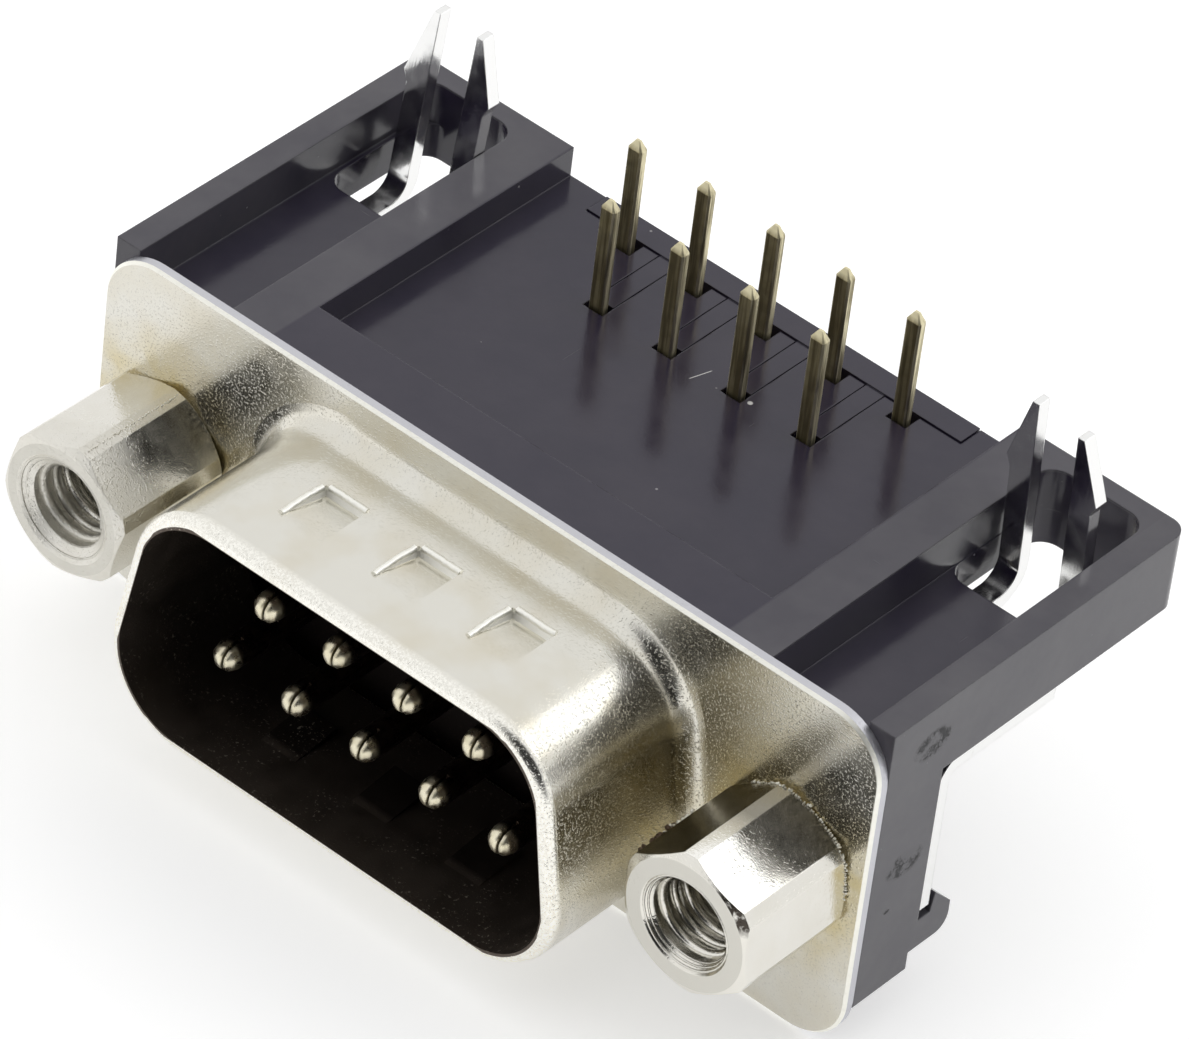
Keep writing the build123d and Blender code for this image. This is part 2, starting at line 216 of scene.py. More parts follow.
def relief(tree, shader, height, depth, rounding=0.0):
    """Bump of a depth in metres on the shader, over edges rounded by a radius."""
    bump = tree.nodes.new("ShaderNodeBump")
    bump.inputs["Distance"].default_value = depth
    tree.links.new(height, bump.inputs["Height"])
    if rounding:
        edge = tree.nodes.new("ShaderNodeBevel")
        edge.samples = 4
        edge.inputs["Radius"].default_value = rounding
        tree.links.new(edge.outputs["Normal"], bump.inputs["Normal"])
    tree.links.new(bump.outputs["Normal"], shader.inputs["Normal"])
    return bump


def wear(node_name, material):
    """Gives a carried-over node's own surface its finish."""
    for slot in nodes[node_name].material_slots:
        slot.material = material


def split(tree, vector):
    """The X, Y and Z of a vector."""
    parts = tree.nodes.new("ShaderNodeSeparateXYZ")
    tree.links.new(vector, parts.inputs[0])
    return parts.outputs


def facing_of(tree):
    """The X, Y and Z of the direction that a surface faces."""
    return split(tree, tree.nodes.new("ShaderNodeNewGeometry").outputs["Normal"])


def size_of(tree, value):
    """A value without its sign."""
    return combine(tree, value, 0.0, "ABSOLUTE")


def diagonal(tree, first, second):
    """The length whose two sides are given."""
    squares = [combine(tree, side, 2.0, "POWER") for side in (first, second)]
    return combine(tree, combine(tree, *squares, "ADD"), 0.5, "POWER")


def overlap(tree, *masks):
    """The product of several masks."""
    result = masks[0]
    for mask in masks[1:]:
        result = combine(tree, result, mask, "MULTIPLY")
    return result


def either(tree, *masks):
    """The largest of several masks."""
    result = masks[0]
    for mask in masks[1:]:
        result = combine(tree, result, mask, "MAXIMUM")
    return result


def in_mouth(tree, place, facing):
    """1 on walls that face into the D of the mouth, 0 elsewhere."""
    above = combine(tree, size_of(tree, place["Z"]), mouth_half_height, "SUBTRACT")
    lean = combine(tree, place["Z"], math.tan(mouth_slant), "MULTIPLY")
    at_slant = combine(tree, size_of(tree, place["X"]), lean, "ADD")
    beside = combine(tree, at_slant, mouth_half_middle, "SUBTRACT")
    within = between(tree, either(tree, above, beside), 0.00001, 0.00004, 1.0, 0.0)
    outward_x = combine(tree, place["X"], facing["X"], "MULTIPLY")
    outward_z = combine(tree, place["Z"], facing["Z"], "MULTIPLY")
    outward = combine(tree, outward_x, outward_z, "ADD")
    return overlap(tree, within, between(tree, outward, 0.0009, 0.0011, 1.0, 0.0))


flange_half_width = 0.015405
flange_half_height = 0.006275
flange_corner = 0.002
flange_edge_inner = 0.00013
flange_edge_outer = 0.00009
skirt_half_height = 0.00463
skirt_start = -0.0006
lip_back = -0.00572
mouth_half_height = 0.00418
mouth_half_middle = 0.00822
mouth_slant = math.radians(10)
dimple_front = -0.0041
dimple_rear = -0.00207
dimple_half = 0.00083
dimple_places = (-0.00358, 0.00014, 0.00386)
dimple_reach = 0.005
screw_x = 0.012495
stain_reach = 0.0044
calm_start = 0.0042
calm_end = 0.0062
plate_grain_size = 0.00006
plate_pimple_size = 0.000085
plate_grain_depth = 0.0000075
plate_wave_size = 0.0022
pale_plate = (0.72, 0.705, 0.645)
yellow_plate = (0.675, 0.64, 0.545)
stained_plate = (0.60, 0.52, 0.31)
painted_flank_reflection = (0.44, 0.40, 0.29)
cut_edge = (0.60, 0.60, 0.635)
painted_bevel_highlight = (0.96, 0.95, 0.88)
painted_torn_wall_highlight = (0.94, 0.93, 0.87)
painted_lip_glint = (0.97, 0.955, 0.89)
painted_mouth_shade = (0.11, 0.09, 0.075)
mouth_shadow = (0.035, 0.028, 0.024)
mouth_lint = (0.55, 0.50, 0.42)

warm_nickel, tree, shader = new_finish("warm_nickel_plate", (0.70, 0.675, 0.60), 1.0, 0.22)
where = on_part(tree)
place, facing = split(tree, where), facing_of(tree)
side_x, side_z = size_of(tree, place["X"]), size_of(tree, place["Z"])
to_front, to_top = size_of(tree, facing["Y"]), size_of(tree, facing["Z"])

# A yellower film in patches, a stain round each screw, and a painted dark reflection on the D's right
# flank.
film = between(tree, mottle(tree, where, 0.0022, 3.0), 0.42, 0.70)
tone = tint(tree, film, pale_plate, yellow_plate)
from_screw = diagonal(tree, combine(tree, side_x, screw_x, "SUBTRACT"), place["Z"])
stain = overlap(
    tree,
    between(tree, from_screw, 0.0026, stain_reach, 1.0, 0.0),
    between(tree, mottle(tree, where, 0.0012, 3.0), 0.35, 0.65, 0.3, 1.0),
)
tone = tint(tree, stain, tone, stained_plate)
# Painted dark reflection: the right flank of the D is darkened where it mirrors its dark
# surroundings.
flank_reflection_mask = overlap(
    tree,
    between(tree, facing["X"], 0.6, 0.9),
    between(tree, place["Y"], -0.0052, -0.0030),
    between(tree, place["X"], 0.0055, 0.006),
)
tone = tint(tree, flank_reflection_mask, tone, painted_flank_reflection)

# The flange's cut edge with a painted highlight on its bevel, and the sheet torn open at the dimples,
# its walls painted near-white as a highlight.
past_x = either(tree, combine(tree, side_x, flange_half_width - flange_corner, "SUBTRACT"), 0.0)
past_z = either(tree, combine(tree, side_z, flange_half_height - flange_corner, "SUBTRACT"), 0.0)
at_border = between(
    tree,
    diagonal(tree, past_x, past_z),
    flange_corner - flange_edge_inner,
    flange_corner - flange_edge_outer,
)
sideways = between(tree, to_front, 0.3, 0.5, 1.0, 0.0)
sloping = overlap(
    tree,
    between(tree, to_front, 0.45, 0.6),
    between(tree, to_front, 0.8, 0.95, 1.0, 0.0),
)
tone = tint(tree, overlap(tree, at_border, sideways), tone, cut_edge)
# Painted highlight along the flange's rounded bevel.
tone = tint(tree, overlap(tree, at_border, sloping), tone, painted_bevel_highlight)
# The dimples' torn walls: partly bright fresh metal, partly a painted highlight along their rounded
# shear edges.
torn_wall_highlight = overlap(
    tree,
    between(tree, side_z, skirt_half_height - 0.00003, skirt_half_height - 0.00001, 1.0, 0.0),
    between(tree, side_z, mouth_half_height + 0.00005, mouth_half_height + 0.0001),
    between(tree, side_x, dimple_reach - 0.0002, dimple_reach, 1.0, 0.0),
    between(tree, to_top, 0.75, 0.9, 1.0, 0.0),
    between(tree, place["Y"], dimple_front - 0.0004, dimple_front - 0.0003),
)
tone = tint(tree, torn_wall_highlight, tone, painted_torn_wall_highlight)

# Painted shade inside the mouth of the D, darker still on the dimples' tongues, with its lint, and a
# painted glint on the front lip.
# The walls inside the mouth are painted dark as shade; the lint specks on them are real dust.
inside = in_mouth(tree, place, facing)
tongue = overlap(
    tree,
    between(tree, side_x, 0.0055, 0.006, 1.0, 0.0),
    between(tree, side_z, mouth_half_height - 0.00005, mouth_half_height - 0.00002, 1.0, 0.0),
)
lint = overlap(
    tree,
    between(tree, mottle(tree, where, 0.00012, 3.0, 0.7), 0.60, 0.68),
    between(tree, mottle(tree, where, 0.0016, 2.0), 0.46, 0.62),
)
mouth_shade_and_lint = tint(tree, lint, tint(tree, tongue, painted_mouth_shade, mouth_shadow), mouth_lint)
# Painted glint: a bright speckled band along the front lip.
on_lip = between(tree, place["Y"], lip_back - 0.0002, lip_back + 0.0001, 1.0, 0.0)
glint_speckle = between(tree, mottle(tree, where, 0.00009, 2.0, 0.7), 0.44, 0.58, 0.45, 0.9)
tone = tint(tree, overlap(tree, on_lip, glint_speckle), tone, painted_lip_glint)
tree.links.new(tint(tree, inside, tone, mouth_shade_and_lint), shader.inputs["Base Color"])
satin = between(tree, mottle(tree, where, 0.0009, 4.0), 0.3, 0.7, 0.15, 0.27)
dull = combine(tree, either(tree, inside, torn_wall_highlight, at_border), 0.3, "MULTIPLY")
tree.links.new(combine(tree, satin, dull, "ADD"), shader.inputs["Roughness"])

# Grain that is full round the screws and at the D's right end, and faint on its flat top.
grain = combine(tree, mottle(tree, where, plate_grain_size, 2.0, 0.6), 0.6, "MULTIPLY")
pimples = between(tree, mottle(tree, where, plate_pimple_size, 2.0), 0.56, 0.68, 0.0, 1.3)
waves = combine(tree, mottle(tree, where, plate_wave_size, 1.0), 1.2, "MULTIPLY")
on_flat_top = overlap(
    tree,
    between(tree, place["Y"], skirt_start - 0.0005, skirt_start, 1.0, 0.0),
    between(tree, place["X"], 0.0055, 0.0075, 1.0, 0.0),
)
calmer = combine(tree, on_flat_top, 0.3, "MULTIPLY")
coarse = combine(tree, between(tree, from_screw, calm_start, calm_end, 1.0, 0.55), calmer, "SUBTRACT")
coarse = either(tree, coarse, combine(tree, on_lip, 0.55, "MULTIPLY"))
bumps = overlap(tree, combine(tree, grain, pimples, "ADD"), coarse)
relief(tree, shader, combine(tree, bumps, waves, "ADD"), plate_grain_depth)
wear("shell", warm_nickel)
wear("skirt", warm_nickel)

# Dimple burrs: the press has torn the skirt's sheet along the left and the rear edge of
# each dimple, and a thin bright lip of metal stands up round it.
burr_width = 0.00012
burr_sink = 0.00003
burr_spacing = 0.00006
burr_wander = 0.00006
burr_noise_per_metre = 6000.0
burr_sides = 7
weld_distance = 1e-7
torn_metal, tree, shader = new_finish("torn_metal", (0.93, 0.92, 0.86), 1.0, 0.42)
relief(tree, shader, mottle(tree, on_part(tree), 0.00006, 2.0), 0.00001)


def new_group(name, wanted, takes_mesh):
    """An empty Geometry Nodes tree with named inputs; returns it with their identifiers."""
    group = bpy.data.node_groups.new(name, "GeometryNodeTree")
    group.interface.new_socket("Geometry", in_out="OUTPUT", socket_type="NodeSocketGeometry")
    if takes_mesh:
        group.interface.new_socket("Geometry", in_out="INPUT", socket_type="NodeSocketGeometry")
    sockets = {}
    for title, kind in wanted:
        socket = group.interface.new_socket(title, in_out="INPUT", socket_type=kind)
        sockets[title] = socket.identifier
    return group, sockets


def bead_maker():
    """Geometry Nodes tree of a ragged bead of metal that follows the lines it is given."""
    wanted = (
        ("Width", "NodeSocketFloat"),
        ("Spacing", "NodeSocketFloat"),
        ("Wander", "NodeSocketFloat"),
        ("Finish", "NodeSocketMaterial"),
    )
    group, sockets = new_group("ragged_bead", wanted, True)
    given = group.nodes.new("NodeGroupInput")
    made = group.nodes.new("NodeGroupOutput")
    lines = group.nodes.new("GeometryNodeMeshToCurve")
    fine = group.nodes.new("GeometryNodeResampleCurve")
    fine.mode = "LENGTH"
    ragged = group.nodes.new("ShaderNodeTexNoise")
    ragged.inputs["Scale"].default_value = burr_noise_per_metre
    ragged.inputs["Detail"].default_value = 3.0
    centred = group.nodes.new("ShaderNodeVectorMath")
    centred.operation = "SUBTRACT"
    centred.inputs[1].default_value = (0.5, 0.5, 0.5)
    aside = group.nodes.new("ShaderNodeVectorMath")
    aside.operation = "SCALE"
    moved = group.nodes.new("GeometryNodeSetPosition")
    along = group.nodes.new("GeometryNodeSplineParameter")
    ends = group.nodes.new("ShaderNodeFloatCurve")
    points = ends.mapping.curves[0].points
    points[0].location = (0.0, 0.08)
    points[1].location = (1.0, 0.3)
    points.new(0.35, 0.75)
    points.new(0.85, 1.0)
    uneven = group.nodes.new("ShaderNodeMapRange")
    uneven.inputs["From Min"].default_value = 0.3
    uneven.inputs["From Max"].default_value = 0.7
    uneven.inputs["To Min"].default_value = 0.45
    uneven.inputs["To Max"].default_value = 1.2
    size = group.nodes.new("ShaderNodeMath")
    size.operation = "MULTIPLY"
    thick = group.nodes.new("GeometryNodeSetCurveRadius")
    section = group.nodes.new("GeometryNodeCurvePrimitiveCircle")
    section.inputs["Resolution"].default_value = burr_sides
    swept = group.nodes.new("GeometryNodeCurveToMesh")
    swept.inputs["Fill Caps"].default_value = True
    realised = group.nodes.new("GeometryNodeRealizeInstances")
    finished = group.nodes.new("GeometryNodeSetMaterial")
    link = group.links.new
    link(given.outputs["Geometry"], lines.inputs[0])
    link(lines.outputs[0], fine.inputs["Curve"])
    link(given.outputs["Spacing"], fine.inputs["Length"])
    link(ragged.outputs["Color"], centred.inputs[0])
    link(centred.outputs["Vector"], aside.inputs[0])
    link(given.outputs["Wander"], aside.inputs["Scale"])
    link(fine.outputs["Curve"], moved.inputs["Geometry"])
    link(aside.outputs["Vector"], moved.inputs["Offset"])
    link(along.outputs["Factor"], ends.inputs["Value"])
    link(ragged.outputs["Fac"], uneven.inputs["Value"])
    link(ends.outputs["Value"], size.inputs[0])
    link(uneven.outputs["Result"], size.inputs[1])
    link(moved.outputs["Geometry"], thick.inputs["Curve"])
    link(size.outputs[0], thick.inputs["Radius"])
    link(given.outputs["Width"], section.inputs["Radius"])
    link(thick.outputs["Curve"], swept.inputs["Curve"])
    link(section.outputs["Curve"], swept.inputs["Profile Curve"])
    link(swept.outputs["Mesh"], realised.inputs["Geometry"])
    link(realised.outputs["Geometry"], finished.inputs["Geometry"])
    link(given.outputs["Finish"], finished.inputs["Material"])
    link(finished.outputs["Geometry"], made.inputs[0])
    return group, sockets


def polylines(name, lines):
    """A mesh of open lines through the given points."""
    points, edges = [], []
    for line in lines:
        first = len(points)
        edges += [(index, index + 1) for index in range(first, first + len(line) - 1)]
        points += line
    mesh = bpy.data.meshes.new(name)
    mesh.from_pydata(points, edges, [])
    return mesh


def run_maker(name, group, identifiers, values, start_mesh=None):
    """Runs a node tree on a new object and returns a plain-mesh object of its result."""
    start_mesh = start_mesh or bpy.data.meshes.new(name + "_start")
    holder = bpy.data.objects.new(name + "_maker", start_mesh)
    bpy.context.scene.collection.objects.link(holder)
    modifier = holder.modifiers.new("maker", "NODES")
    modifier.node_group = group
    for socket_name, value in values.items():
        modifier[identifiers[socket_name]] = value
    shown = holder.evaluated_get(bpy.context.evaluated_depsgraph_get())
    mesh = bpy.data.meshes.new_from_object(shown)
    mesh.name = name
    holder.modifiers.remove(modifier)
    bpy.data.objects.remove(holder)
    closed = bmesh.new()
    closed.from_mesh(mesh)
    bmesh.ops.remove_doubles(closed, verts=closed.verts, dist=weld_distance)
    bmesh.ops.recalc_face_normals(closed, faces=closed.faces)
    closed.to_mesh(mesh)
    closed.free()
    piece = bpy.data.objects.new(name, mesh)
    bpy.context.scene.collection.objects.link(piece)
    return piece


bead_tree, bead_inputs = bead_maker()
torn_edges = []
for face in (-1, 1):
    height = face * (skirt_half_height - burr_sink)
    for middle in dimple_places:
        left, right = middle - dimple_half, middle + dimple_half
        torn_edges.append([
            (left - 0.00005, dimple_front + 0.0001, height),
            (left - 0.00008, (dimple_front + dimple_rear) / 2, height),
            (left - 0.00003, dimple_rear - 0.00012, height),
        ])
        torn_edges.append([
            (left + 0.00014, dimple_rear + 0.00005, height),
            (right - 0.00002, dimple_rear + 0.00005, height),
        ])
burrs = run_maker(
    "dimple_burrs",
    bead_tree,
    bead_inputs,
    {"Width": burr_width, "Spacing": burr_spacing, "Wander": burr_wander, "Finish": torn_metal},
    polylines("torn_edges", torn_edges),
)
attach(burrs, "root")

# Insulator: the moulded block in the shell that holds the nine contacts. Black plastic
# that has gone a little brown with dust, as it can't be wiped between the pins.
clean_black = (0.011, 0.007, 0.006)
brown_dust = (0.13, 0.095, 0.075)
insulator_grain_size = 0.00018
insulator_grain_depth = 0.000006
dusty_black, tree, shader = new_finish("dusty_black_plastic", (0.006, 0.004, 0.004), 0.0, 0.6)
shader.inputs["Specular IOR Level"].default_value = 0.25
where = on_part(tree)
lint = between(tree, mottle(tree, where, 0.00016, 4.0, 0.7), 0.60, 0.74)
haze = between(tree, mottle(tree, where, 0.003, 2.0), 0.35, 0.75)
dust = overlap(tree, lint, haze)
tree.links.new(tint(tree, dust, clean_black, brown_dust), shader.inputs["Base Color"])
relief(tree, shader, mottle(tree, where, insulator_grain_size, 3.0), insulator_grain_depth)
wear("insulator", dusty_black)

# Contacts: nine formed brass strips, a round slit pin in front and a flat tail behind,
# with a thin pale gold flash on the pins, painted shade on the pin shafts deep in the mouth,
# and a duller olive tone on the tails with a painted highlight on their sides.
pin_nose_back = -0.00438
pin_front_end = 0.003
pin_nose_rounding = 0.00018
pin_edge_rounding = 0.00003
tail_streak_start = 0.0045
tail_point = 0.0089
tail_streak_size = 0.00013
drawn_line_size = 0.00006
drawn_line_depth = 0.0000015
pale_gold = ((0.74, 0.68, 0.50), (0.84, 0.79, 0.63))
painted_shaft_shade = ((0.06, 0.045, 0.035), (0.15, 0.11, 0.08))
olive_tail = ((0.36, 0.31, 0.17), (0.47, 0.41, 0.24))
painted_side_highlight = (0.78, 0.72, 0.50)
dark_streak = (0.15, 0.12, 0.06)
cut_point = (0.76, 0.70, 0.48)
contact_metal, tree, shader = new_finish("flashed_brass", (0.55, 0.47, 0.28), 1.0, 0.24)
where = on_part(tree)
place, facing = split(tree, where), facing_of(tree)
is_tail = between(tree, place["Y"], pin_front_end, pin_front_end + 0.001)
is_shaft = between(tree, place["Y"], pin_nose_back - 0.0001, pin_nose_back + 0.0001)
patches = between(tree, mottle(tree, where, 0.0005, 3.0), 0.35, 0.7)
nose_tone = tint(tree, patches, *pale_gold)
# Painted shade: the pin shafts behind the noses sit deep in the mouth and are painted dark.
shaded_shaft_tone = tint(tree, patches, *painted_shaft_shade)
pin_tone = tint(tree, is_shaft, nose_tone, shaded_shaft_tone)
tail_tone = tint(tree, patches, *olive_tail)
# Painted highlight: the tails' faces turned along X are painted lighter.
side_highlight_mask = between(tree, size_of(tree, facing["X"]), 0.4, 0.7)
tail_tone = tint(tree, side_highlight_mask, tail_tone, painted_side_highlight)
streaks = mottle(tree, on_part(tree, (1.0, 1.0, 0.05)), tail_streak_size, 2.0)
streaks = between(tree, streaks, 0.42, 0.60)
upright = between(tree, place["Z"], tail_streak_start, tail_streak_start + 0.0006, 0.0, 0.75)
tail_tone = tint(tree, overlap(tree, streaks, upright), tail_tone, dark_streak)
at_point = between(tree, place["Z"], tail_point, tail_point + 0.0002)
tail_tone = tint(tree, at_point, tail_tone, cut_point)
tree.links.new(tint(tree, is_tail, pin_tone, tail_tone), shader.inputs["Base Color"])
gloss = between(tree, mottle(tree, where, 0.0003, 3.0), 0.3, 0.7, 0.22, 0.38)
dull = combine(tree, is_tail, 0.2, "MULTIPLY")
tree.links.new(combine(tree, gloss, dull, "ADD"), shader.inputs["Roughness"])
drawn = mottle(tree, on_part(tree, (1.0, 1.0, 0.12)), drawn_line_size, 2.0)
bump = relief(tree, shader, drawn, drawn_line_depth, pin_edge_rounding)
rounding = bump.inputs["Normal"].links[0].from_node
rounding.samples = 8
radius = between(tree, is_shaft, 0.0, 1.0, pin_nose_rounding, pin_edge_rounding)
tree.links.new(radius, rounding.inputs["Radius"])
for number in range(1, 10):
    wear("pin_" + str(number), contact_metal)

# Housing and comb: glossy black moulded plastic with a slight blue-violet cast. Handling
# has left specks of dust, hairlines, one white scratch with a crumb of lint beside it,
# rubbed rims and rails, and two rough marks with a dot on the right side.
mould_wave_size = 0.0011
mould_grain_size = 0.00009
mould_depth = 0.0000018
housing_rounding = 0.00007
comb_rounding = 0.00004
speck_spacing = 0.0009
rim_start = 0.01435
rail_start = 0.0090
seat_height = 0.0062
sunk_floor = 0.0051
scratch_middle = (0.00009, 0.00976)
scratch_turn = math.radians(16.1)
scratch_half_width = 0.000012
scratch_half_length = 0.00036
lint_place = (0.00198, 0.00986, 0.0051)
right_side = 0.0152
mark_stretch = 0.6
marks = (
    (0.00242, 0.00477, 0.00058),
    (0.00188, 0.00037, 0.00054),
    (0.00136, -0.00125, 0.00009),
)
blue_black = ((0.020, 0.016, 0.034), (0.034, 0.028, 0.046))
rubbed_black = (0.088, 0.084, 0.095)
rough_black = (0.010, 0.010, 0.012)
speck_grey = (0.30, 0.29, 0.30)
scratch_white = (0.62, 0.61, 0.60)
hairline_grey = (0.07, 0.07, 0.08)


def away_from(tree, where, middle):
    """How far a point lies from a place on the part."""
    away = tree.nodes.new("ShaderNodeVectorMath")
    away.operation = "DISTANCE"
    away.inputs[1].default_value = middle
    tree.links.new(where, away.inputs[0])
    return away.outputs["Value"]


def dust_specks(tree, where):
    """1 on a few small specks of dust."""
    cells = tree.nodes.new("ShaderNodeTexVoronoi")
    cells.inputs["Scale"].default_value = 1.0 / speck_spacing
    tree.links.new(where, cells.inputs["Vector"])
    chosen = tree.nodes.new("ShaderNodeSeparateColor")
    tree.links.new(cells.outputs["Color"], chosen.inputs[0])
    near = between(tree, cells.outputs["Distance"], 0.03, 0.06, 1.0, 0.0)
    return overlap(tree, near, between(tree, chosen.outputs[0], 0.90, 0.92))


def rough_marks(tree, where, place):
    """1 on the rough marks of the right side, each longer than it is high."""
    side_view = on_part(tree, (0.0, mark_stretch, 1.0))
    spots = []
    for y, z, reach in marks:
        away = away_from(tree, side_view, (0.0, mark_stretch * y, z))
        spots.append(between(tree, away, reach * 0.75, reach, 1.0, 0.0))
    fine, broad = mottle(tree, where, 0.0001, 4.0, 0.8), mottle(tree, where, 0.0005, 2.0)
    broken = between(tree, combine(tree, fine, broad, "ADD"), 0.96, 1.08, 0.1, 1.0)
    on_right_side = between(tree, place["X"], right_side, right_side + 0.0001)
    return overlap(tree, either(tree, *spots), on_right_side, broken)


def scratch_and_lint(tree, where, place):
    """1 on the white scratch in the sunk floor and on the crumb of lint beside it."""
    turned = split(tree, on_part(tree, turn=scratch_turn))
    cosine, sine = math.cos(scratch_turn), math.sin(scratch_turn)
    across = scratch_middle[0] * cosine - scratch_middle[1] * sine
    along = scratch_middle[0] * sine + scratch_middle[1] * cosine
    off_line = size_of(tree, combine(tree, turned["X"], across, "SUBTRACT"))
    off_middle = size_of(tree, combine(tree, turned["Y"], along, "SUBTRACT"))
    scratch = overlap(
        tree,
        between(tree, off_line, scratch_half_width, scratch_half_width + 0.000008, 1.0, 0.0),
        between(tree, off_middle, scratch_half_length, scratch_half_length + 0.00008, 1.0, 0.0),
        between(tree, place["Z"], sunk_floor - 0.00005, sunk_floor - 0.00003),
    )
    crumb = between(tree, away_from(tree, where, lint_place), 0.00007, 0.0001, 1.0, 0.0)
    return either(tree, scratch, crumb)


def moulded_black(name):
    """The housing's finish; returns the material, its tree, its shader and its relief height."""
    material, tree, shader = new_finish(name, (0.024, 0.019, 0.040), 0.0, 0.2)
    shader.inputs["IOR"].default_value = 1.5
    where = on_part(tree)
    place = split(tree, where)
    side_x = size_of(tree, place["X"])
    haze = between(tree, mottle(tree, where, 0.0035, 4.0, 0.6), 0.35, 0.75)
    tone = tint(tree, haze, *blue_black)
    rim = between(tree, side_x, rim_start, rim_start + 0.0002)
    rails = overlap(
        tree,
        between(tree, place["Z"], seat_height - 0.0001, seat_height - 0.00005),
        between(tree, side_x, rail_start, rail_start + 0.0001, 0.0, 0.85),
    )
    uneven = between(tree, haze, 0.0, 1.0, 0.55, 1.0)
    rubbed = overlap(tree, either(tree, rim, rails), uneven)
    tone = tint(tree, rubbed, tone, rubbed_black)
    rough_mark = rough_marks(tree, where, place)
    tone = tint(tree, rough_mark, tone, rough_black)
    shine = between(tree, rough_mark, 0.0, 1.0, 0.5, 0.12)
    tree.links.new(shine, shader.inputs["Specular IOR Level"])
    speck = dust_specks(tree, where)
    tone = tint(tree, speck, tone, speck_grey)
    tone = tint(tree, scratch_and_lint(tree, where, place), tone, scratch_white)
    hairs = mottle(tree, on_part(tree, (1.0, 0.05, 1.0), 0.6), 0.00012, 1.0)
    strays = mottle(tree, on_part(tree, (0.06, 1.0, 1.0), 0.35), 0.00013, 1.0)
    hairline = between(tree, either(tree, hairs, strays), 0.81, 0.85)
    tone = tint(tree, hairline, tone, hairline_grey)
    tree.links.new(tone, shader.inputs["Base Color"])
    gloss = between(tree, mottle(tree, where, 0.0017, 5.0, 0.6), 0.3, 0.75, 0.12, 0.26)
    dulled = combine(tree, either(tree, speck, hairline), 0.35, "MULTIPLY")
    tree.links.new(combine(tree, gloss, dulled, "ADD"), shader.inputs["Roughness"])
    swell = combine(tree, mottle(tree, where, mould_wave_size, 2.0), 4.0, "MULTIPLY")
    height = combine(tree, swell, mottle(tree, where, mould_grain_size, 2.0), "ADD")
    return material, tree, shader, height


housing_black, tree, shader, height = moulded_black("moulded_housing_black")
relief(tree, shader, height, mould_depth, housing_rounding)
wear("housing", housing_black)
comb_black, tree, shader, height = moulded_black("moulded_comb_black")
relief(tree, shader, height, mould_depth, comb_rounding)
wear("tail_comb", comb_black)

# Brackets: bent steel strip, bright tin plated. Each goes from the tapped leg behind
# the flange, under the slab, to the forked board lock that stands in its hole.
rolled_line_size = 0.00008
strip_wave_size = 0.0011
strip_depth = 0.0000016
strip_rounding = 0.00005
bright_tin, tree, shader = new_finish("bright_tin_plate", (0.86, 0.86, 0.85), 1.0, 0.12)
where = on_part(tree)
rolled = mottle(tree, on_part(tree, (1.0, 0.1, 0.1)), rolled_line_size, 2.0)
gloss = between(tree, mottle(tree, where, 0.0006, 3.0), 0.3, 0.75, 0.08, 0.24)
tree.links.new(gloss, shader.inputs["Roughness"])
swell = combine(tree, mottle(tree, where, strip_wave_size, 1.0), 4.0, "MULTIPLY")
relief(tree, shader, combine(tree, rolled, swell, "ADD"), strip_depth, strip_rounding)
for side in ("left", "right"):
    wear("bracket_" + side, bright_tin)
    wear("lock_" + side, bright_tin)

# Jackscrews: hexagonal bar turned to a stud behind and tapped in front, nickel plated.
# The plate is brighter than the shell's. The right one's upper flat has a painted highlight
# in front and painted shade behind, its left-facing flats a painted dark reflection, and its rim
# is gouged; the left one is pebbled by wear in front.
pebble_depth = 0.0000028
screw_rounding = 0.00005
pebble_size = 0.0001
screw_grain_size = 0.00005
screw_plate = ((0.80, 0.785, 0.74), (0.72, 0.695, 0.62))
front_face = (0.60, 0.585, 0.53)
painted_flat_highlight = (0.95, 0.94, 0.90)
painted_flat_shade = (0.41, 0.395, 0.36)
painted_flat_reflection = (0.44, 0.41, 0.33)
gouged_rim = (0.07, 0.06, 0.05)
bright_nickel, tree, shader = new_finish("bright_nickel_plate", (0.74, 0.72, 0.66), 1.0, 0.15)
where = on_part(tree)
place, facing = split(tree, where), facing_of(tree)
on_right = between(tree, place["X"], 0.0, 0.001)
on_left = between(tree, place["X"], 0.0, 0.001, 1.0, 0.0)
film = mottle(tree, where, 0.0012, 3.0)
tone = tint(tree, film, *screw_plate)
on_front = between(tree, facing["Y"], -0.95, -0.9, 0.75, 0.0)
tone = tint(tree, on_front, tone, front_face)
upper_flat = overlap(tree, on_right, between(tree, facing["Z"], 0.8, 0.9))
# Painted highlight on the front of the right screw's upper flat, and painted shade on its rear.
flat_highlight_mask = overlap(tree, upper_flat, between(tree, place["Y"], -0.0032, -0.0026, 1.0, 0.0))
tone = tint(tree, flat_highlight_mask, tone, painted_flat_highlight)
flat_shade_mask = overlap(tree, upper_flat, between(tree, place["Y"], -0.0026, -0.0018))
tone = tint(tree, flat_shade_mask, tone, painted_flat_shade)
